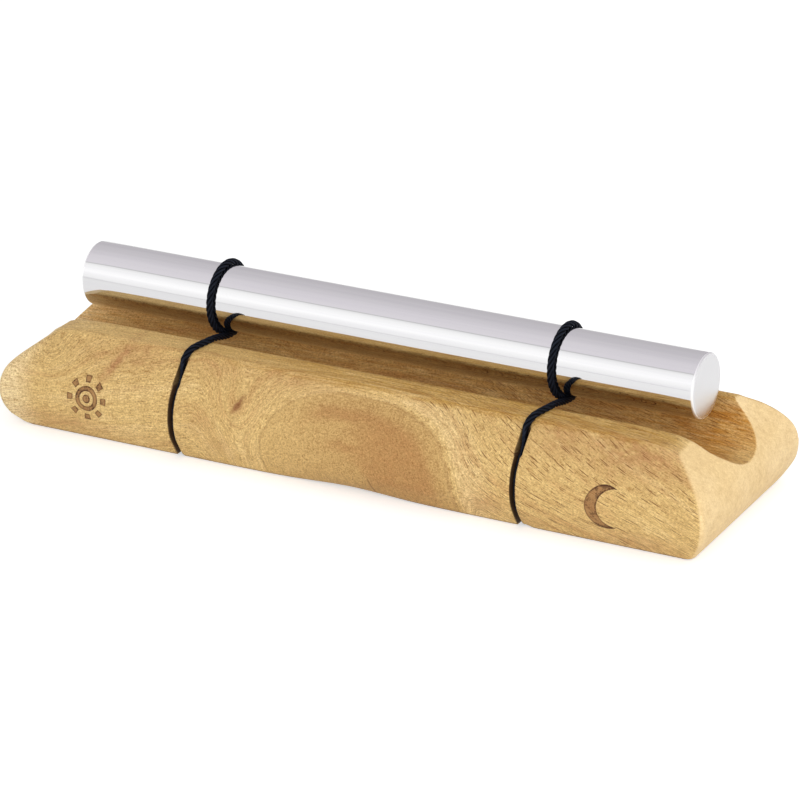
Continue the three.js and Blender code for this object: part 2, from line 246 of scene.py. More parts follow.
class Tree:
    def __init__(self, tree, prefix):
        self.tree = tree
        self.prefix = prefix

    def add(self, kind, settings=None, inputs=None):
        shared = kind in SHARED_NODES
        node = self.tree.nodes.new(("ShaderNode" if shared else self.prefix) + kind)
        for key, value in (settings or {}).items():
            if key == "stops":
                self._stops(node.color_ramp, value)
            else:
                setattr(node, key, value)
        for key, value in (inputs or {}).items():
            self.feed(node.inputs[key], value)
        return node

    def _stops(self, ramp, stops):
        while len(ramp.elements) < len(stops):
            ramp.elements.new(0.5)
        for element, (at, colour) in zip(ramp.elements, stops):
            element.position = at
            element.color = (*colour, 1)

    def feed(self, socket, value):
        if isinstance(value, Value):
            value = value.socket
        if isinstance(value, bpy.types.Node):
            value = value.outputs[0]
        if isinstance(value, bpy.types.NodeSocket):
            self.tree.links.new(value, socket)
        elif isinstance(value, tuple) and socket.type == "RGBA" and len(value) == 3:
            socket.default_value = (*value, 1)
        else:
            socket.default_value = value

    def value(self, node, output=0):
        return Value(self, node.outputs[output])

    def noise(self, vector, scale=1.0, detail=2.0, rough=0.5, kind="3D", w=None):
        inputs = {"Scale": scale, "Detail": detail, "Roughness": rough}
        if kind != "1D":
            inputs["Vector"] = vector
        if w is not None:
            inputs["W"] = w
        return self.value(self.add("TexNoise", {"noise_dimensions": kind}, inputs))

    def vector(self, x, y, z):
        return self.add("CombineXYZ", None, {0: x, 1: y, 2: z})

    def dashes(self, vector, size):
        """Round spots on stretched coordinates: thin dashes on the real surface."""
        inputs = {"Vector": vector, "Scale": 1.0, "Randomness": 1.0}
        far = self.value(self.add("TexVoronoi", None, inputs))
        return far.fade(size * 0.55, size)

    def on_vectors(self, operation, *terms, **more):
        return self.add("VectorMath", {"operation": operation}, {**dict(enumerate(terms)), **more})

    def attribute(self, name):
        return self.value(self.add("Attribute", {"attribute_name": name}), "Fac")

    def millimetres(self):
        """The place on the piece as a vector in millimetres, and its x, y and z."""
        place = self.on_vectors("SCALE", self.add("TexCoord").outputs["Object"], Scale=1 / MM)
        split = self.add("SeparateXYZ", None, {0: place})
        return (place, *(self.value(split, i) for i in range(3)))

    def shaded(self, colour, *parts):
        """The colour with its red, green and blue each multiplied."""
        return self.on_vectors("MULTIPLY", colour, self.vector(*parts))

    def blend(self, factor, a, b):
        return self.add("Mix", {"data_type": "RGBA"}, {0: factor, 6: a, 7: b}).outputs[2]

    def carve(self, shader, strength, depth, relief):
        bump = self.add("Bump", None, {"Strength": strength, "Distance": depth * MM, "Height": relief})
        self.feed(shader.inputs["Normal"], bump)


def rgb(red, green, blue):
    """A colour as it is seen, 0 to 255, in the linear values that Blender uses."""
    parts = [part / 255 for part in (red, green, blue)]
    return tuple(p / 12.92 if p <= 0.04045 else ((p + 0.055) / 1.055) ** 2.4 for p in parts)


def empty_tree(owner):
    owner.use_nodes = True
    owner.node_tree.nodes.clear()
    return Tree(owner.node_tree, "ShaderNode")


def new_material(name):
    material = bpy.data.materials.new(name)
    tree = empty_tree(material)
    output = tree.add("OutputMaterial")
    shader = tree.add("BsdfPrincipled")
    tree.feed(output.inputs["Surface"], shader)
    return material, tree, shader


# Wood: growth rings are the level surfaces of one field, drawn out along the block
CRESCENT_CENTRE = (88.2, 13.9)
CRESCENT_RADIUS = 6.7
HOLLOW_CENTRE = (91.2, 13.9)
HOLLOW_RADIUS = 5.9
SUN_CENTRE = (-87.2, 15.2)
RAY_COUNT, RAY_START, RAY_END = 8, 4.9, 6.9
RING_START, RING_END = 2.4, 3.9
SUN_HEART = 1.35
KNOT_PLACE, KNOT_REACH = (-35, -31, 22), (8, 14, 6)
LEFT_EDDY_PLACE, LEFT_EDDY_REACH = (-102, -30, 24), (11, 18, 7)
FIGURE_MIDDLE = 3.0
# Browner patches on the front: x, z, half width, half height, strength
BROWN_PATCHES = [
    (48.5, 7, 5.5, 3, 0.75), (-47.5, 14.5, 4.5, 4.5, 0.55), (-41, 8.5, 4.5, 3.5, 0.45),
    (97, 4, 13, 3.5, 0.6), (94, 28, 20, 5, 0.8), (70, 29, 9, 5, 0.7),
    (-96, 5, 16, 4, 0.5), (-86, 27.5, 9, 3, 0.35), (-45, 29.5, 10, 2.5, 0.4),
    (62, 3, 5, 2, 0.5), (-20, 30, 14, 2.5, 0.5), (-72, 29, 9, 4, 0.5),
]


def make_wood():
    material, tree, shader = new_material("pale_hardwood")
    scaled, x, y, z = tree.millimetres()
    end, kerf = tree.attribute("end_face"), tree.attribute("kerf_wall")
    front = y.fade(-24, -18)

    def stained(mask, *tone):
        return tree.blend(mask.clamped(), colour, rgb(*tone))

    # The growth rings close round the middle of the front into one rounded figure, and run off level
    # to the left and falling to the right
    wander = (tree.noise(scaled, 0.03, 1.0) - 0.5) * 9
    wander_z = (tree.noise(tree.vector(x * 0.5 + 300, y, z), 0.045, 1.0) - 0.5) * 6
    across = x - FIGURE_MIDDLE + wander * 0.4
    inward = (y + 23).most(0.0).least(41.0)
    height = z + (y + HALF_DEPTH) * 0.25 + inward * 1.3
    side = abs(across) / ((across / 8).apply("TANH") * 3.5 + 34.5)
    held = side / ((side / 1.45) ** 6 + 1) ** (1 / 6)
    rise = abs(height - 7) / 26
    figure_share = (held**2.5 + rise**2.5) ** (1 / 2.5)
    beyond_right, beyond_left = x - 25, -40 - x
    fall_right = (beyond_right + (beyond_right * beyond_right + 100).apply("SQRT")) * 0.21
    fall_right = fall_right + ((x - 36) / 10.8).apply("TANH") * 6.9
    fall_left = (beyond_left + (beyond_left * beyond_left + 100).apply("SQRT")) * 0.12
    outer = height + fall_right + fall_left + wander_z * 0.7 + 11
    far = (-across).step(34, 54).most(figure_share.step(0.98, 1.14) * across.step(-26, -6))
    field = figure_share * 34 * (1 - far) + outer * far

    # They flow round the knot and round a second place near the left end
    near_knot, near_left = (
        spot(*((axis - middle) / size for axis, middle, size in zip((x, y, z), at, reach)))
        for at, reach in ((KNOT_PLACE, KNOT_REACH), (LEFT_EDDY_PLACE, LEFT_EDDY_REACH))
    )
    field = field + near_knot * 5 + near_left * 9

    rings = tree.noise(None, 0.17, 2.0, 0.6, kind="1D", w=field)
    fibres = tree.noise(tree.vector(x * 0.34, (y + z) * 0.34, field * 2.6), 1.0, 2.0, 0.75) - 0.5
    streaks = tree.noise(tree.vector(x * 0.06, (y + z) * 0.06, field * 0.8), 1.0, 2.0, 0.6) - 0.5
    speckle = tree.noise(scaled, 1.7, 2.0, 0.85) - 0.5
    mottle = tree.noise(scaled, 0.45, 2.0, 0.6) - 0.5
    patches = tree.noise(scaled, 0.035) - 0.5

    # Inside the figure the wood is browner and has no lines, only grain, in a few soft arcs
    share = figure_share + patches * 0.14 + mottle * 0.09 + speckle * 0.03
    inside = share.fade(0.86, 1.02)
    right_side = across.step(-6, 14)
    core = share.step(0.14, 0.24) * share.fade(0.74, 0.86) * right_side
    arch = share.step(0.62, 0.72) * share.fade(0.76, 0.86) * across.step(-20, -8)
    ring = share.step(0.28, 0.36) * share.fade(0.38, 0.5) * across.step(-12, 0)
    brown = core.most(arch * 0.85).most(ring * 0.8)
    brown = brown * ((mottle + speckle * 0.5).step(-0.2, 0.2) * 0.4 + 0.7) * (z.step(1.5, 8.0) * 0.6 + 0.4)
    shaded_side = across.step(-34, 8) * 0.7 + 0.3
    colour = tree.blend(inside * shaded_side, rgb(222, 186, 121), rgb(200, 160, 100))
    colour = stained(brown * 0.8, 184, 134, 80)
    outline = spot((share - 0.945) / 0.014) * (rings.step(0.3, 0.55) * 0.7 + 0.3)
    colour = stained(outline * 0.55, 146, 98, 54)
    halo = share.step(0.97, 1.04) * share.fade(1.08, 1.3) * (across.step(-20, 14) * 0.8 + 0.2)
    colour = stained(halo * 0.62, 240, 208, 150)

    # Beyond it the rings show as soft bands and streaks
    bands = ((rings - 0.5) * 1.3 + patches * 1.1 + mottle * 0.5) * (1 - inside * 0.9)
    colour = stained(bands.step(0.04, 0.36) * 0.42, 198, 150, 94)
    colour = stained((-bands).step(0.04, 0.32) * 0.34, 244, 212, 152)
    colour = stained(streaks.step(0.05, 0.22) * 0.34 * (1 - inside), 188, 138, 84)
    browner = None
    for at_x, at_z, wide, high, strength in BROWN_PATCHES:
        patch = spot((x - at_x) / wide, (z - at_z) / high) * strength
        browner = patch if browner is None else browner.most(patch)
    browner = browner * front * ((mottle + speckle * 0.7).step(-0.14, 0.12) * 0.8 + 0.35)
    colour = stained(browner * 0.8, 184, 132, 84)
    pale_left = (-x).step(104, 116)
    colour = stained(pale_left * 0.7, 248, 222, 172)

    # A reddish streak runs up the left part of the front
    along_streak = (x + 80 + (z - 26) * 0.6) * 0.6 + (z - 26) * 0.5
    off_streak = (x + 80) - (z - 26) * 0.6 + wander_z * 0.4
    streak = (off_streak * off_streak * -0.3 - along_streak * along_streak * 0.016).apply("EXPONENT")
    streak = streak * (mottle.step(-0.2, 0.15) * 0.7 + 0.3)
    colour = stained(streak * y.fade(-20, -12) * 0.75, 176, 118, 76)

    # Open pores: thin dark dashes that lie along the rings
    dashes = tree.dashes(tree.vector(x * 0.085, (y + z) * 0.085, field * 1.5), 0.25)
    more_dashes = tree.dashes(tree.vector(x * 0.14 + 70, (y + z) * 0.14, field * 1.9), 0.25)
    specks = tree.dashes(tree.vector(x * 0.6, (y + z) * 0.6, field * 1.7 + 40), 0.27)
    pore_area = tree.noise(tree.vector(x, y - 40, z), 0.045, 1.0).step(0.3, 0.56)
    outside = figure_share.step(1.0, 1.14)
    to_right = x.step(-10, 34)
    falling = across.step(8, 22) * x.fade(52, 66) * (z + y * 0.2).step(2, 12)
    gathered = (pore_area * 0.75 + 0.25).most(falling)
    gathered = gathered.most(x.step(58, 66) * z.step(13, 19))
    pores = dashes.most(more_dashes * (falling * 0.2 + 0.8)) * outside * gathered
    pores = pores * (to_right * 0.7 + 0.3) + specks * 0.5 * (pore_area * 0.5 + 0.5)
    pores = pores.clamped() * (1 - end) * (1 - near_knot * 0.8)
    colour = stained(pores * 0.92, 126, 78, 36)

    # The knot's reddish heart leans to the right
    from_knot = (x - KNOT_PLACE[0]) - (z - KNOT_PLACE[2]) * 0.45
    along_knot = z - KNOT_PLACE[2]
    eye = spot(from_knot / 1.5, along_knot / 3.0)
    second_eye = spot((from_knot - 1.2) / 1.1, (along_knot + 4.5) / 2.4) * 0.6
    eye = eye.most(second_eye) * front * ((speckle + mottle).step(-0.25, 0.05) * 0.8 + 0.2)
    eye = eye * 0.35 + (eye * 1.1 + fibres * 1.1 + mottle * 0.6).step(0.4, 1.0) * 0.55
    colour = stained(eye, 140, 88, 52)

    # A short dark check rises from the foot of the front
    off_check = (x - 10.0 + (z - 5) * 0.14) / 0.32
    check = spot(off_check) * z.fade(6.6, 7.8) * y.fade(-28, -20)
    colour = stained(check * 0.6, 112, 68, 34)

    # The top of the block is a deeper gold, finely lined: partly the wood's own lines and partly painted
    # shade on the upward-facing crest, less towards the left end
    top = z.step(29.6, 31.6) * (1 - end)
    lines = tree.noise(tree.vector(x * 0.09, y * 1.7, z * 0.4), 1.0, 2.0, 0.65)
    top_shade = top * (lines.step(0.36, 0.62) * 0.8 + 0.35) * (x.step(-80, 0) * 1.08 + 0.15)
    colour = tree.shaded(colour, 1 - top_shade * 0.2, 1 - top_shade * 0.29, 1 - top_shade * 0.47)

    # End grain is paler and finely dotted
    end_tone = (tree.noise(scaled, 0.05, 3.0, 0.6) + mottle * 0.15).step(0.34, 0.66)
    end_colour = tree.blend(end_tone, rgb(241, 208, 151), rgb(249, 218, 164))
    colour = tree.blend(end, colour, end_colour)
    lined = 1 - inside * 0.75
    grain = fibres * lined * 1.35 * (1 - end * 0.8) + mottle * 0.35
    grain = grain + speckle * (1.9 - x.step(44, 70) * 0.45) * (1 - end * 0.6)
    colour = tree.shaded(colour, 1 + grain * 0.75, 1 + grain, 1 + grain * 1.25)
    # Painted light and shade on the front: lighter and paler towards its foot, darker and browner towards its
    # top
    low = (1 - z / 17) * y.fade(-28, -16) * (1 - end)
    colour = tree.shaded(colour, 1 + low * 0.10, 1 + low * 0.12, 1 + low * 0.13)

    # Two plain figures burnt into the front: a crescent and a sun
    on_front = y.fade(-29, -25)

    def distance(centre):
        return hypot(x - centre[0], z - centre[1])

    from_sun = distance(SUN_CENTRE)
    sun_turn = (z - SUN_CENTRE[1]).apply("ARCTAN2", x - SUN_CENTRE[0])
    rays = ((sun_turn * RAY_COUNT).apply("COSINE") - 0.25) * 1.2
    crescent = (CRESCENT_RADIUS - distance(CRESCENT_CENTRE)).least(distance(HOLLOW_CENTRE) - HOLLOW_RADIUS)
    sun_rays = (RAY_END - from_sun).least(from_sun - RAY_START).least(rays)
    sun_ring = (RING_END - from_sun).least(from_sun - RING_START)
    burnt_depth = crescent.most(sun_rays).most(sun_ring).most(SUN_HEART - from_sun) + speckle * 0.35
    figure = burnt_depth.step(-0.08, 0.12) * on_front
    rim = figure * burnt_depth.fade(0.1, 0.6)
    tips = abs(z - CRESCENT_CENTRE[1]).step(4.2, 6.4) * x.step(80, 81)
    char = (mottle * 3 + speckle * 3 + fibres * 1.5 + tips * 0.7).step(0.05, 0.6)
    colour = stained(figure * 0.78, 164, 116, 72)
    colour = stained(figure * char * 0.7 + rim * 0.6, 82, 50, 30)

    # Painted shade in the routed channel under the rod: it is darker and browner up to just below its rounded
    # rims, more so towards the right, and less low down at the right end's opening
    off_axis = hypot(y - ROD_SETBACK, z - GROOVE_FLOOR - GROOVE_RADIUS)
    channel_shade = off_axis.fade(GROOVE_RADIUS + 0.2, GROOVE_RADIUS + 1.8)
    channel_shade = channel_shade * z.fade(28.2, 30.6) * (1 - end)
    channel_shade = channel_shade * (x.step(60, 105) * 0.4 + 1) * (lines.step(0.36, 0.62) * 0.7 + 0.6)
    channel_shade = channel_shade * (1 - x.step(104, 116) * (1 - (z + y * 0.3).step(21, 28)) * 0.55)
    colour = tree.shaded(colour, 1 - channel_shade * 0.16, 1 - channel_shade * 0.29, 1 - channel_shade * 0.44)

    # Saw-cut walls are dark: partly burnt wood and partly painted shade deep in the narrow cut. The edge that
    # stands on the table gets a dark line of painted shade along its foot
    colour = stained(kerf * 0.95, 68, 45, 33)
    foot_shade = z.fade(0.0, 1.1) * 0.6
    colour = stained(foot_shade, 120, 78, 40)
    tree.feed(shader.inputs["Base Color"], colour)

    tree.feed(shader.inputs["Roughness"], 0.56 + speckle * 0.2 + figure * 0.15)
    shader.inputs["Specular IOR Level"].default_value = 0.3
    relief = speckle * 0.5 + fibres * 0.4 - pores * 0.5 - figure * 2.2
    tree.carve(shader, 0.5, 0.12, relief)
    return material


def make_metal():
    material, tree, shader = new_material("polished_rod")
    scaled, x, y, z = tree.millimetres()
    cap, chamfer = tree.attribute("cap_face"), tree.attribute("chamfer")
    drawn = tree.noise(tree.vector(x * 0.012, y * 0.9, z * 0.9), 1.0, 3.0, 0.6)
    colour = tree.blend(drawn.step(0.4, 0.65) * 0.6, (0.765, 0.762, 0.768), (0.735, 0.728, 0.748))
    grit = tree.noise(scaled, 2.6, 1.0).step(0.5, 0.72)
    # Painted highlight: the chamfers round the ends are nearly white, standing in for the bright ring of
    # light they show; they are rougher too
    colour = tree.blend(chamfer, colour, (0.97, 0.97, 0.97))
    colour = tree.blend(grit * cap * 0.14, colour, (0.62, 0.60, 0.60))
    tree.feed(shader.inputs["Base Color"], colour)
    shader.inputs["Metallic"].default_value = 1.0
    smudge = tree.noise(tree.vector(x * 0.05, y * 0.3, z * 0.3))
    tree.feed(shader.inputs["Roughness"], 0.035 + smudge * 0.04 + cap * 0.2 + chamfer * 0.4)
    radius = hypot(y - ROD_SETBACK, z - ROD_HEIGHT)
    turned = ((radius * 14).apply("SINE") * 0.25 + tree.noise(scaled, 2.4, 1.0) * 1.6) * cap + drawn * 0.3
    tree.carve(shader, 0.14, 0.03, turned)
    return material


FIBRE_LAY = 4.2
FIBRE_FINENESS = 3.2


def make_cord_fibre():
    material, tree, shader = new_material("twisted_cord_fibre")
    on_strand = tree.add("Attribute", {"attribute_name": "ring"}).outputs["Vector"]
    ring = tree.add("SeparateXYZ", None, {0: on_strand})
    across, up = tree.value(ring, 0), tree.value(ring, 1)
    along = tree.attribute("along")
    turn = along * (-ROUND / FIBRE_LAY)
    cosine, sine = turn.apply("COSINE"), turn.apply("SINE")
    turned_across, turned_up = across * cosine - up * sine, across * sine + up * cosine
    fibre_place = tree.vector(turned_across * FIBRE_FINENESS, turned_up * FIBRE_FINENESS, along * 0.35)
    fibres = tree.noise(fibre_place, 1.0, 2.0, 0.6)
    # Painted highlight and shade on the cord: the crowns of the strands, furthest from the cord's middle, get
    # a lighter navy among the fibres, patchily along the cord, and the hollows between them stay near black
    highlight_patches = tree.noise(tree.vector(along * 0.4, across, up), 0.9, 1.0)
    ridge = tree.attribute("ridge").step(0.8, 1.02)
    lit = ridge * (fibres.step(0.3, 0.65) * 0.6 + 0.4) * (highlight_patches.step(0.35, 0.7) * 0.5 + 0.5)
    colour = tree.blend(lit, (0.0008, 0.0011, 0.0024), (0.021, 0.027, 0.045))
    tree.feed(shader.inputs["Base Color"], colour)
    tree.feed(shader.inputs["Roughness"], 0.5 + fibres * 0.25)
    shader.inputs["Specular IOR Level"].default_value = 0.10
    tree.carve(shader, 0.8, 0.1, fibres)
    return material


WOOD = make_wood()
METAL = make_metal()
FIBRE = make_cord_fibre()


# Meshes
def new_piece(name, vertices, faces):
    mesh = bpy.data.meshes.new(name)
    mesh.from_pydata([tuple(v) for v in vertices], [], [tuple(f) for f in faces])
    mesh.update()
    mesh.shade_smooth()
    return placed(name, mesh)


def baked(piece):
    """A new mesh of the piece with its modifiers carried out."""
    return bpy.data.meshes.new_from_object(piece.evaluated_get(bpy.context.evaluated_depsgraph_get()))


def store(mesh, name, values):
    kind, field = ("FLOAT", "value") if values.ndim == 1 else ("FLOAT_VECTOR", "vector")
    mesh.attributes.new(name, kind, "POINT").data.foreach_set(field, values.astype(np.float32).ravel())


def vertex_table(mesh, field):
    table = np.empty(len(mesh.vertices) * 3, np.float32)
    mesh.vertices.foreach_get(field, table)
    return table.reshape(-1, 3)


def fix_normals(piece):
    work = bmesh.new()
    work.from_mesh(piece.data)
    bmesh.ops.recalc_face_normals(work, faces=work.faces)
    work.to_mesh(piece.data)
    work.free()


def skin(rings):
    """Joins rings of equal point counts into one closed skin with flat ends."""
    count = len(rings[0])
    vertices = np.concatenate(rings) * MM
    faces = []
    for k in range(len(rings) - 1):
        for i in range(count):
            j = (i + 1) % count
            faces.append((k * count + i, k * count + j, (k + 1) * count + j, (k + 1) * count + i))
    faces.append(tuple(reversed(range(count))))
    faces.append(tuple(range((len(rings) - 1) * count, len(rings) * count)))
    return vertices, faces


def outline_curve(outline):
    """A smooth curve through the outline's points, as a function of the share of the height."""
    reach = np.array([point[0] for point in outline])
    at = np.array([point[1] for point in outline])
    chord = np.diff(reach) / np.diff(at)
    slope = np.empty(len(at))
    slope[1:-1] = (reach[2:] - reach[:-2]) / (at[2:] - at[:-2])
    slope[0], slope[-1] = chord[0], chord[-1]

    def curve(share):
        share = float(min(max(share, 0), 1))
        i = int(np.clip(np.searchsorted(at, share) - 1, 0, len(at) - 2))
        span = at[i + 1] - at[i]
        t = (share - at[i]) / span
        m0, m1 = (s if abs(s) <= 3 * abs(chord[i]) else 3 * chord[i] for s in (slope[i], slope[i + 1]))
        value = (2 * t**3 - 3 * t**2 + 1) * reach[i] + (t**3 - 2 * t**2 + t) * span * m0
        value += (3 * t**2 - 2 * t**3) * reach[i + 1] + (t**3 - t**2) * span * m1
        return value * HALF_DEPTH

    return curve


front_reach = outline_curve(FRONT_OUTLINE)
back_reach = outline_curve(BACK_OUTLINE)


def end_reach(share):
    return BASE_LENGTH / 2 - END_LEAN * (HALF_DEPTH - front_reach(share))


def left_fullness(share):
    """The left end was rounded over less at its foot: how much further out it stands."""
    at = [height / BASE_HEIGHT for height in (0, 4, 8, 13, 18, 27, 30)]
    return float(np.interp(share, at, (-0.14, 2.0, 0.95, 0.47, 0.2, 0.2, 0)))


# Cord route, from the knot round the base, over the rims and once round the rod
def rim_centre():
    height = BASE_HEIGHT - RIM_RADIUS
    rise = height - GROOVE_FLOOR - GROOVE_RADIUS
    return math.sqrt((GROOVE_RADIUS + RIM_RADIUS) ** 2 - rise**2), height, rise


def sunk_point(side, share, sink):
    reach = front_reach if side < 0 else back_reach
    low, high = max(share - 0.01, 0), min(share + 0.01, 1)
    run, climb = reach(high) - reach(low), (high - low) * BASE_HEIGHT
    length = math.hypot(run, climb)
    outward, upward = climb / length, -run / length
    return side * (reach(share) - sink * outward), share * BASE_HEIGHT - sink * upward


def side_route(side):
    wall_y, wall_z = sunk_point(side, BOTTOM_TURN, CORD_SINK)
    turn_in = wall_z - CORD_SINK
    corner_y = wall_y - side * turn_in
    start_y = side * (KNOT_LENGTH / 2 + CLEARANCE)
    route = [(lerp(start_y, corner_y, i / 6), CORD_SINK, 1.0) for i in range(7)]
    for i in range(1, 4):
        angle = math.pi / 2 * i / 4
        route.append((
            corner_y + side * turn_in * math.sin(angle), CORD_SINK + turn_in * (1 - math.cos(angle)), 1.0
        ))
    for share in RUN_SHARES:
        pressed = 1 - float(smoothstep(share, PRESSED_IN, SURFACED))
        sink = pressed * CORD_SINK - (1 - pressed) * (CORD_RADIUS - BITE)
        route.append((*sunk_point(side, share, sink), pressed))
    reach = front_reach if side < 0 else back_reach
    route.append((side * reach(1), BASE_HEIGHT + CORD_RADIUS - BITE, 0.0))
    return route


def half_route(side, offset):
    """From the knot to where the cord touches the rod: x, y, z and how far it is pressed in."""
    points = side_route(side)
    rim_y, rim_z, _ = rim_centre()
    roll = RIM_RADIUS + CORD_RADIUS - BITE
    down = ROD_HEIGHT - rim_z
    lean = math.atan2(rim_y, down) - math.acos((TURN_RADIUS + roll) / math.hypot(rim_y, down))
    for i in range(4):
        angle = lean * i / 3
        off_axis = rim_y - roll * math.sin(angle)
        points.append((ROD_SETBACK + side * off_axis, rim_z + roll * math.cos(angle), 0.0))
    leaving = points[-1]
    touch = (
        ROD_SETBACK + side * TURN_RADIUS * math.sin(lean), ROD_HEIGHT - TURN_RADIUS * math.cos(lean), 0.0
    )
    points += [tuple(lerp(a, b, i / 5) for a, b in zip(leaving, touch)) for i in range(1, 6)]
    steps = [math.dist(a[:2], b[:2]) for a, b in zip(points, points[1:])]
    to_go = np.concatenate([np.cumsum(steps[::-1])[::-1], [0]])
    aside = offset * np.interp(to_go, *zip(*STEP_ASIDE))
    sag = (SAG if side < 0 else 0.0) * (1 - smoothstep(to_go, *SAG_REACH))
    route = [(float(aside[i]), y, z - float(sag[i]), pressed) for i, (y, z, pressed) in enumerate(points)]
    return route[:-1], lean


def cord_route():
    front, front_lean = half_route(-1, FRONT_PASS)
    back, back_lean = half_route(1, BACK_PASS)
    turn = []
    steps = 96
    for i in range(steps + 1):
        angle = lerp(-front_lean, ROUND + back_lean, i / steps)
        leaving = 1 - smoothstep(angle, DRIFT_START, DRIFT_END)
        arriving = smoothstep(angle, ROUND - DRIFT_END, ROUND - DRIFT_START)
        sag = SAG * (1 - smoothstep(angle, 0.0, SAG_ANGLE))
        turn.append((
            float(leaving * FRONT_PASS + arriving * BACK_PASS),
            ROD_SETBACK + TURN_RADIUS * math.sin(angle),
            ROD_HEIGHT - TURN_RADIUS * math.cos(angle) - float(sag),
            0.0,
        ))
    return np.array(front), np.array(turn), np.array(back[::-1])


def through_points(points, step):
    """A smooth curve through the points, set out again at even steps."""
    ends = np.vstack([2 * points[0] - points[1], points, 2 * points[-1] - points[-2]])
    dense = []
    fill = 12
    for i in range(len(points) - 1):
        a, b, c, d = ends[i:i + 4]
        for t in np.arange(fill) / fill:
            dense.append(0.5 * (
                2 * b + (c - a) * t + (2 * a - 5 * b + 4 * c - d) * t**2 + (3 * b - a - 3 * c + d) * t**3
            ))
    dense = np.array([*dense, points[-1]])
    dense[:, 3] = np.clip(dense[:, 3], 0, 1)
    along = np.concatenate([[0], np.cumsum(np.linalg.norm(np.diff(dense[:, :3], axis=0), axis=1))])
    at = np.linspace(0, along[-1], int(along[-1] / step) + 1)
    return np.stack([np.interp(at, along, dense[:, i]) for i in range(4)], axis=1), at


def strand_tree():
    """Geometry nodes: lays strands round a path and sweeps each into a closed round thread."""
    group = bpy.data.node_groups.new("twisted_strands", "GeometryNodeTree")
    sockets = [("Geometry", "OUTPUT", "Geometry"), ("Geometry", "INPUT", "Geometry")]
    sockets += [(name, "INPUT", "Float") for name in ("Strand Radius", "Core Radius", "Lay Length")]
    for name, way, kind in [*sockets, ("Material", "INPUT", "Material")]:
        group.interface.new_socket(name, in_out=way, socket_type=f"NodeSocket{kind}")
    tree = Tree(group, "GeometryNode")
    given = group.nodes.new("NodeGroupInput")
    result = group.nodes.new("NodeGroupOutput")

    def stored(name, kind="FLOAT"):
        node = tree.add("InputNamedAttribute", {"data_type": kind}, {"Name": name})
        return node.outputs["Attribute"]

    def marked(geometry, name, value, kind="FLOAT"):
        settings = {"data_type": kind, "domain": "POINT"}
        inputs = {"Geometry": geometry, "Name": name, "Value": value}
        return tree.add("StoreNamedAttribute", settings, inputs)

    def here():
        return tree.add("InputPosition")

    def path():
        return tree.add("MeshToCurve", None, {0: given.outputs["Geometry"]})

    def circle(points, radius):
        inputs = {"Resolution": points, "Radius": given.outputs[radius]}
        return tree.add("CurvePrimitiveCircle", None, inputs)

    def swept(curve, outline):
        inputs = {"Curve": curve, "Profile Curve": outline, "Fill Caps": True}
        return tree.add("CurveToMesh", None, inputs)

    turned = Value(tree, stored("along")) / Value(tree, given.outputs["Lay Length"]) * ROUND
    join = tree.add("JoinGeometry")
    for strand in range(STRANDS):
        angle = turned + strand * ROUND / STRANDS
        to_side, to_rise = (
            tree.on_vectors(
                "SCALE", stored(way, "FLOAT_VECTOR"), Scale=angle.apply(wave) * Value(tree, stored(spread))
            )
            for way, spread, wave in (("side", "spread_side", "COSINE"), ("rise", "spread_rise", "SINE"))
        )
        offset = tree.on_vectors("ADD", to_side, to_rise)
        middle = marked(path(), "middle", here(), "FLOAT_VECTOR")
        moved = tree.add("SetPosition", None, {"Geometry": middle, "Offset": offset})
        unit = tree.on_vectors("NORMALIZE", here())
        thread = swept(moved, marked(circle(10, "Strand Radius"), "ring", unit, "FLOAT_VECTOR"))
        # How far each point of a strand lies from the cord's middle, in cord radii: the fibre material puts
        # its painted highlight where this is largest
        from_middle = tree.on_vectors("DISTANCE", here(), stored("middle", "FLOAT_VECTOR"))
        ridge = Value(tree, from_middle.outputs["Value"]) / (CORD_RADIUS * MM)
        tree.feed(join.inputs[0], marked(thread, "ridge", ridge))
    # A thinner core fills the hollows between the strands
    core = tree.add("SetCurveRadius", None, {"Curve": path(), "Radius": stored("core_share")})
    tree.feed(join.inputs[0], swept(core, circle(8, "Core Radius")))
    smooth = tree.add("SetShadeSmooth", None, {0: join})
    real = tree.add("RealizeInstances", None, {0: smooth})
    painted = tree.add("SetMaterial", None, {"Geometry": real, "Material": given.outputs["Material"]})
    tree.feed(result.inputs[0], painted)
    return group


STRAND_TREE = strand_tree()


def twisted(name, points, along, x, strand_radius=STRAND_RADIUS, lay=CORD_LAY):
    """One length of cord as a mesh of twisted strands along the given points."""
    place = points[:, :3] + [x, 0, 0]
    tangent = np.gradient(place, axis=0)
    tangent /= np.linalg.norm(tangent, axis=1, keepdims=True)
    side = np.array([1.0, 0, 0]) - tangent * tangent[:, :1]
    side /= np.linalg.norm(side, axis=1, keepdims=True)
    rise = np.cross(tangent, side)
    pressed = points[:, 3]
    mesh = bpy.data.meshes.new(name)
    mesh.from_pydata([tuple(p) for p in place * MM], [(i, i + 1) for i in range(len(place) - 1)], [])
    free = CORD_RADIUS - strand_radius
    laid = {
        "spread_side": lerp(free, 0.06, np.sqrt(pressed)) * MM,
        "spread_rise": lerp(free, SQUEEZED_HEIGHT / 2 - strand_radius, pressed) * MM,
        "core_share": lerp(1.0, 0.6, pressed),
        "along": along,
        "side": side,
        "rise": rise,
    }
    for key, values in laid.items():
        store(mesh, key, values)
    holder = placed(name, mesh)
    modifier = holder.modifiers.new("strands", "NODES")
    modifier.node_group = STRAND_TREE
    settings = {
        "Strand Radius": strand_radius * MM,
        "Core Radius": strand_radius * CORE_SHARE * MM,
        "Lay Length": lay,
        "Material": FIBRE,
    }
    for item in STRAND_TREE.interface.items_tree:
        if item.in_out == "INPUT" and item.name in settings:
            modifier[item.identifier] = settings[item.name]
    made = baked(holder)
    bpy.data.objects.remove(holder)
    piece = placed(name, made)
    made.name = name
    return piece


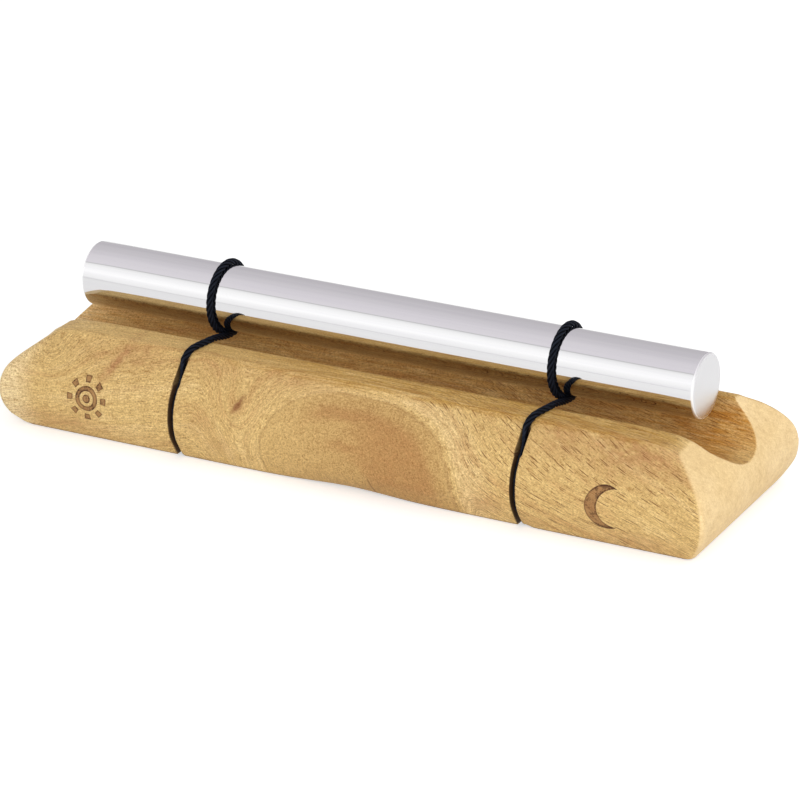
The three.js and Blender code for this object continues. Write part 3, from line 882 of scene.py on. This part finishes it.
def make_cord(label, x):
    front, turn, back = cord_route()
    whole, along = through_points(np.vstack([front, turn, back]), CORD_STEP)
    # The turn rides with the rod's slings, and each side has its place baked into its mesh
    turn_start, turn_end = (
        int(np.argmin(np.linalg.norm(whole[:, :3] - turn[i, :3], axis=1))) for i in (0, -1)
    )
    spans = {
        "front": slice(0, turn_start + 1),
        "turn": slice(turn_start, turn_end + 1),
        "back": slice(turn_end, len(whole)),
    }
    for part, span in spans.items():
        piece = twisted(f"{label}_cord_{part}", whole[span], along[span], x)
        if part == "turn":
            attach(piece, "slings")
        else:
            side = -1 if part == "front" else 1
            start = (0, (ROD_SETBACK + side * BEND_FROM) * MM, 0)
            end = (0, (ROD_SETBACK + side * BEND_TO) * MM, 0)
            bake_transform(piece)
        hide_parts(f"{label}_cord")


def make_knot(label, x):
    """Three wraps of the cord round its two ends, with the ends standing out a little."""
    t = np.linspace(0, 1, 30 * KNOT_WRAPS + 1)
    angle, radius, reach = ROUND * KNOT_WRAPS * t, KNOT_RADIUS - WRAP_SINK, KNOT_LENGTH / 2 - WRAP_INSET
    coil = np.column_stack([
        radius * np.cos(angle), lerp(-reach, reach, t), CORD_SINK + radius * np.sin(angle), 0 * t
    ])
    along = np.concatenate([[0], np.cumsum(np.linalg.norm(np.diff(coil[:, :3], axis=0), axis=1))])
    wrap = twisted(f"{label}_knot_wraps", coil, along, x, strand_radius=WRAP_STRAND, lay=WRAP_LAY)
    ends = np.array([(0.0, y, CORD_SINK, 0.0) for y in np.linspace(-KNOT_LENGTH / 2, KNOT_LENGTH / 2, 20)])
    tails = twisted(
        f"{label}_knot_core", ends, ends[:, 1] + 4, x, strand_radius=TAIL_STRAND, lay=TAIL_LAY
    )
    for piece in (wrap, tails):
        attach(piece, "base")
        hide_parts(f"{label}_cord_knot")


for label, x in (("left", LEFT_PLANE), ("right", RIGHT_PLANE)):
    make_cord(label, x)
    make_knot(label, x)


# Rod
def make_rod():
    half = (ROD_LENGTH - SHORT_AT_RIGHT) / 2
    inner = ROD_RADIUS - ROD_CHAMFER
    quarter = [math.pi / 2 * i / 5 for i in range(6)]
    foot = [(inner * k / 6, -half) for k in range(6)]
    foot += [(inner + ROD_CHAMFER * math.sin(a), -half + ROD_CHAMFER * (1 - math.cos(a))) for a in quarter]
    side = [(ROD_RADIUS, lerp(-half + ROD_CHAMFER, half - ROD_CHAMFER, i / 24)) for i in range(1, 24)]
    around = 160
    vertices, faces, rings = [], [], []
    for radius, at in foot + side + [(radius, -at) for radius, at in reversed(foot)]:
        count = around if radius else 1
        rings.append(range(len(vertices), len(vertices) + count))
        for k in range(count):
            angle = ROUND * k / around
            y, z = radius * math.cos(angle), radius * math.sin(angle)
            vertices.append((at, ROD_SETBACK + y, ROD_HEIGHT + z))
    for a, b in zip(rings, rings[1:]):
        for k in range(around):
            corners = [a[k % len(a)], a[(k + 1) % len(a)], b[(k + 1) % len(b)], b[k % len(b)]]
            faces.append(tuple(dict.fromkeys(corners)))
    place = np.array(vertices) - [SHORT_AT_RIGHT / 2, 0, 0]
    piece = new_piece("sounding_rod", place * MM, faces)
    piece.data.materials.append(METAL)
    off_axis = np.hypot(place[:, 1] - ROD_SETBACK, place[:, 2] - ROD_HEIGHT)
    cap = off_axis < ROD_RADIUS - ROD_CHAMFER * 0.97
    store(piece.data, "cap_face", cap)
    store(piece.data, "chamfer", (off_axis < ROD_RADIUS - ROD_CHAMFER * 0.03) & ~cap)
    fix_normals(piece)
    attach(piece, "bar")
    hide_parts("chime_bar")


# Base
def block_rings():
    shares = [0, 0.012, 0.03, 0.06, *np.linspace(0.1, 0.9, 33), 0.92, 0.94, 0.955, 0.97, 0.98, 0.99, 0.996, 1]
    rings = []
    steps, along, deep = 8, 60, 18
    for share in shares:
        # The lowest edge is eased a little
        ease = 0.5 * (1 - float(smoothstep(share, 0, 0.03)))
        end, front, back = end_reach(share) - ease, front_reach(share) - ease, back_reach(share) - ease
        left = end + left_fullness(share)
        corners = [
            (end, -front, 1, -1, FRONT_CORNER, -90), (end, back, 1, 1, BACK_CORNER, 0),
            (-left, back, -1, 1, BACK_CORNER, 90), (-left, -front, -1, -1, FRONT_CORNER, 180),
        ]
        arcs = []
        for x, y, sx, sy, radius, start in corners:
            angles = np.radians(start + 90 * np.arange(steps + 1) / steps)
            middle = np.array([x - sx * radius, y - sy * radius])
            arcs.append(middle + radius * np.stack([np.cos(angles), np.sin(angles)], 1))
        ring = []
        for i, arc in enumerate(arcs):
            ring.append(arc)
            following = arcs[(i + 1) % 4][0]
            count = deep if i % 2 == 0 else along
            t = (np.arange(1, count) / count)[:, None]
            ring.append(lerp(arc[-1], following, t))
        flat = np.concatenate(ring)
        rings.append(np.column_stack([flat, np.full(len(flat), share * BASE_HEIGHT)]))
    return rings


def groove_ring():
    rim_y, rim_z, rise = rim_centre()
    touch = math.atan2(rise, rim_y)
    centre = GROOVE_FLOOR + GROOVE_RADIUS
    right = [(rim_y, BASE_HEIGHT + 3)]
    for i in range(11):
        angle = math.pi / 2 + (math.pi / 2 + touch) * i / 10
        right.append((rim_y + RIM_RADIUS * math.cos(angle), rim_z + RIM_RADIUS * math.sin(angle)))
    floor = []
    for i in range(1, 48):
        angle = touch - (math.pi + 2 * touch) * i / 48
        floor.append((GROOVE_RADIUS * math.cos(angle), centre + GROOVE_RADIUS * math.sin(angle)))
    outline = right + floor + [(-y, z) for y, z in reversed(right)]
    return [(y + ROD_SETBACK, z) for y, z in outline]


def plate(outline, thickness, x, slices=1):
    """A cutter: the outline in y and z, drawn out along the block round x."""
    rings = []
    for at in np.linspace(x - thickness / 2, x + thickness / 2, slices + 1):
        rings.append(np.array([(at, y, z) for y, z in outline]))
    return skin(rings)


def kerf_outline():
    depth = SQUEEZED_HEIGHT / 2 + CLEARANCE

    def inner(side):
        route = side_route(side)
        points = []
        for i, (y, z, pressed) in enumerate(route):
            y0, z0 = route[max(i - 1, 0)][:2]
            y1, z1 = route[min(i + 1, len(route) - 1)][:2]
            length = math.hypot(y1 - y0, z1 - z0)
            inward = lerp(CORD_RADIUS + CLEARANCE * 0.5, depth, pressed)
            points.append((y - side * inward * (z1 - z0) / length, z + side * inward * (y1 - y0) / length))
        return points

    around, above = HALF_DEPTH + 3, BASE_HEIGHT + 3
    front, back = inner(-1), inner(1)
    return [
        *back, (back[-1][0], above), (around, above), (around, -3),
        (-around, -3), (-around, above), (front[-1][0], above), *front[::-1],
    ]


def cutter(name, skinned):
    piece = new_piece(name, *skinned)
    fix_normals(piece)
    return piece


def combine(piece, other, operation="DIFFERENCE"):
    modifier = piece.modifiers.new("combined", "BOOLEAN")
    modifier.object, modifier.operation, modifier.solver = other, operation, "EXACT"
    old, mesh = piece.data, baked(piece)
    piece.modifiers.clear()
    piece.data = mesh
    bpy.data.meshes.remove(old)
    bpy.data.objects.remove(other)


def cut_block():
    piece = cutter("hardwood_block", skin(block_rings()))
    combine(piece, cutter("groove_cut", plate(groove_ring(), BASE_LENGTH + 6, 0, 60)))
    for x in CORD_PLANES:
        combine(piece, cutter("kerf_cut", plate(kerf_outline(), KERF_WIDTH, x)))
        for side in (-1, 1):
            # The shoulders of the kerf are opened for the round cord
            notch = cutter("notch_cut", plate(kerf_outline(), 2 * CORD_RADIUS + 0.3, x))
            first, last = sorted((side * 12, side * (HALF_DEPTH + 4)))
            low, high = BASE_HEIGHT - NOTCH_REACH, BASE_HEIGHT + 4
            corner = [(first, low), (last, low), (last, high), (first, high)]
            combine(notch, cutter("keep", plate(corner, 2 * CORD_RADIUS + 2, x)), "INTERSECT")
            combine(piece, notch)
        angles = ROUND * np.arange(40) / 40
        across, deep = x + POCKET_RADIUS * np.cos(angles), POCKET_RADIUS * np.sin(angles)
        pocket = [np.column_stack([across, deep, np.full(40, height)]) for height in (-3, POCKET_DEPTH)]
        combine(piece, cutter("pocket_cut", skin(pocket)))
    return piece


SANDED_GRID = 0.42
KEPT_FACES = 0.25  # as a share
# What hand sanding has changed: how much, where along the block, and over what half width
HOLLOW_FOOT = (1.15, 1.5, 17)
CHIPPED_FOOT = (0.7, RIGHT_PLANE + 1.9, 1.3)
WORN_CORNERS = (0.55, 106, 2.4)
WORN_ENDS, ENDS_START = 1.35, 86


def sand(piece):
    """Makes an even fine mesh whose sharp edges come out slightly eased."""
    remesh = piece.modifiers.new("sanded", "REMESH")
    remesh.mode, remesh.voxel_size, remesh.adaptivity = "VOXEL", SANDED_GRID * MM, 0
    smooth = piece.modifiers.new("eased", "SMOOTH")
    smooth.factor, smooth.iterations = 0.5, 2
    piece.modifiers.new("thinned", "DECIMATE").ratio = KEPT_FACES
    mesh = baked(piece)
    piece.modifiers.clear()
    piece.data = mesh
    mesh.shade_smooth()
    mesh.materials.clear()
    mesh.materials.append(WOOD)
    return mesh


def mound(x, height, middle, half_width):
    return height * np.exp(-((x - middle) / half_width) ** 2)


def wear(x, y, z):
    """How far hand sanding has moved each point of the block up."""
    # The long lower edge is hollowed a little, and a splinter is off beside the right kerf
    foot = (1 - smoothstep(z, 0, 5)) * (1 - smoothstep(y, -27, -24))
    raised = (mound(x, *HOLLOW_FOOT) + mound(x, *CHIPPED_FOOT)) * foot
    # The front crest is taken down towards the ends of the block
    crest = smoothstep(z + raised, 17, BASE_HEIGHT) * (1 - smoothstep(y, -14, -4))
    from_middle = np.abs(x)
    towards_end = np.clip((from_middle - ENDS_START) / 20, 0, 1.2)
    return raised - (WORN_ENDS * towards_end ** 2 + mound(from_middle, *WORN_CORNERS)) * crest


def make_base():
    piece = cut_block()
    mesh = sand(piece)
    place, normals = vertex_table(mesh, "co") / MM, vertex_table(mesh, "normal")
    x, y, z = place.T
    z += wear(x, y, z)
    mesh.vertices.foreach_set("co", (place * MM).astype(np.float32).ravel())
    end = smoothstep(np.abs(normals[:, 0]), 0.3, 0.62) * (np.abs(x) > 95)
    reach = [(front_reach if at < 0 else back_reach)(share) for at, share in zip(y, z / BASE_HEIGHT)]
    depth = np.minimum(np.minimum(reach - np.abs(y), BASE_HEIGHT - z), z)
    in_channel = np.hypot(y - ROD_SETBACK, z - GROOVE_FLOOR - GROOVE_RADIUS) < GROOVE_RADIUS + 0.9
    in_cut = smoothstep(depth, 0.15, 0.5) * ~in_channel
    # The kerf and notch walls that the wood darkens, partly as burnt wood and partly as painted shade deep in
    # the cut
    kerf = np.zeros(len(x))
    for plane in CORD_PLANES:
        near = np.abs(x - plane)
        kerf = np.maximum(kerf, (near < KERF_WIDTH / 2 + 0.25) * in_cut)
        notch = (near < CORD_RADIUS + 0.4) & (np.abs(normals[:, 0]) > 0.6)
        kerf = np.maximum(kerf, notch * in_cut * 0.8)
    store(mesh, "end_face", end)
    store(mesh, "kerf_wall", kerf)
    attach(piece, "base")
    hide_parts("wood_base")


make_rod()
make_base()


# Floor, light and background
WHITE = (1.0, 1.0, 1.0)
FLOOR_REACH = 6.0
FLOOR_TONE = (0.8, 0.8, 0.8)
LIT_PLACE = (0, 0, 0.02)
EVEN_GLOW = 0.5  # the studio's share in everything that isn't a mirror
SEEN_GLOW, MIRRORED_GLOW = 0.5, 0.36  # what the floor adds for the camera and in the rod


def make_floor():
    signs = ((-1, -1), (1, -1), (1, 1), (-1, 1))
    corners = [(x * FLOOR_REACH, y * FLOOR_REACH, 0) for x, y in signs]
    floor = new_piece("floor", corners, [(0, 1, 2, 3)])
    material = bpy.data.materials.new("floor_white")
    tree = empty_tree(material)
    output = tree.add("OutputMaterial")
    diffuse = tree.add("BsdfDiffuse", None, {"Color": FLOOR_TONE})
    path = tree.add("LightPath")
    first = 1.0 - tree.value(path, "Diffuse Depth").least(1.0)
    camera, mirror = tree.value(path, "Is Camera Ray"), tree.value(path, "Is Glossy Ray")
    strength = camera * SEEN_GLOW + mirror * first * MIRRORED_GLOW
    glow = tree.add("Emission", None, {"Color": WHITE, "Strength": strength})
    both = tree.add("AddShader", None, {0: diffuse, 1: glow})
    seen = camera.most(mirror)
    mixed = tree.add("MixShader", None, {0: seen, 1: diffuse, 2: both})
    tree.feed(output.inputs["Surface"], mixed)
    floor.data.materials.append(material)


# The studio that the rod mirrors: degrees from straight up towards the front, and brightness there
MIRRORED = [
    (-180, 0.80), (-110, 0.58), (-85, 0.60), (-65, 0.63), (-45, 0.69), (-29, 0.72), (-11, 0.79), (6, 0.86),
    (21, 0.88), (33, 0.91), (34, 0.60), (35, 0.60), (36, 0.98), (44, 1.15), (58, 1.26), (68, 1.30),
    (75, 1.21), (84, 1.14), (92, 1.11), (100, 1.10), (180, 0.80),
]
LAVENDER = (1.0, 0.962, 1.012)  # the tint of the studio above and behind
LAVENDER_END = 33
MOST_MIRRORED = max(level for _, level in MIRRORED)


def make_world():
    world = bpy.data.worlds.new("studio")
    bpy.context.scene.world = world
    tree = empty_tree(world)
    output = tree.add("OutputWorld")
    path = tree.add("LightPath")
    direction = tree.add("SeparateXYZ", None, {0: tree.add("TexCoord").outputs["Generated"]})
    to_front, up = -tree.value(direction, 1), tree.value(direction, 2)
    turned = to_front.apply("ARCTAN2", up) / ROUND + 0.5
    stops = []
    for angle, level in MIRRORED:
        tint = LAVENDER if angle <= LAVENDER_END else WHITE
        stops.append((angle / 360 + 0.5, tuple(level * part / MOST_MIRRORED for part in tint)))
    ramp = tree.add("ValToRGB", {"stops": stops}, {0: turned})
    # Only what a mirror shows directly: light that has been scattered first comes from an even studio
    first = 1.0 - tree.value(path, "Diffuse Depth").least(1.0)
    glossy = tree.value(path, "Is Glossy Ray") * first
    camera = tree.value(path, "Is Camera Ray").most(tree.value(path, "Is Transmission Ray"))
    even = tree.add("Background", None, {"Color": WHITE, "Strength": EVEN_GLOW})
    white = tree.add("Background", None, {"Color": WHITE, "Strength": 1.0})
    mirror = tree.add("Background", None, {"Color": ramp, "Strength": MOST_MIRRORED})
    lit = tree.add("MixShader", None, {0: glossy, 1: even, 2: mirror})
    final = tree.add("MixShader", None, {0: camera, 1: lit, 2: white})
    tree.feed(output.inputs["Surface"], final)


def softbox(name, place, size, watts):
    lamp = bpy.data.lights.new(name, "AREA")
    lamp.shape = "RECTANGLE"
    lamp.size, lamp.size_y = size
    lamp.energy = watts
    holder = placed(name, lamp)
    aim = Vector(LIT_PLACE) - Vector(place)
    holder.matrix_world = Matrix.Translation(place) @ aim.to_track_quat("-Z", "Y").to_matrix().to_4x4()
    holder.visible_glossy = False


make_floor()
make_world()
softbox("overhead", (0.15, 0.1, 1.2), (1.6, 1.2), 2.3)
softbox("front", (0.6, -1.15, 0.6), (1.4, 1.1), 9.5)
softbox("right", (1.3, 0.1, 0.65), (1.0, 1.2), 4.0)

scene = bpy.context.scene
scene.view_settings.view_transform = "Standard"
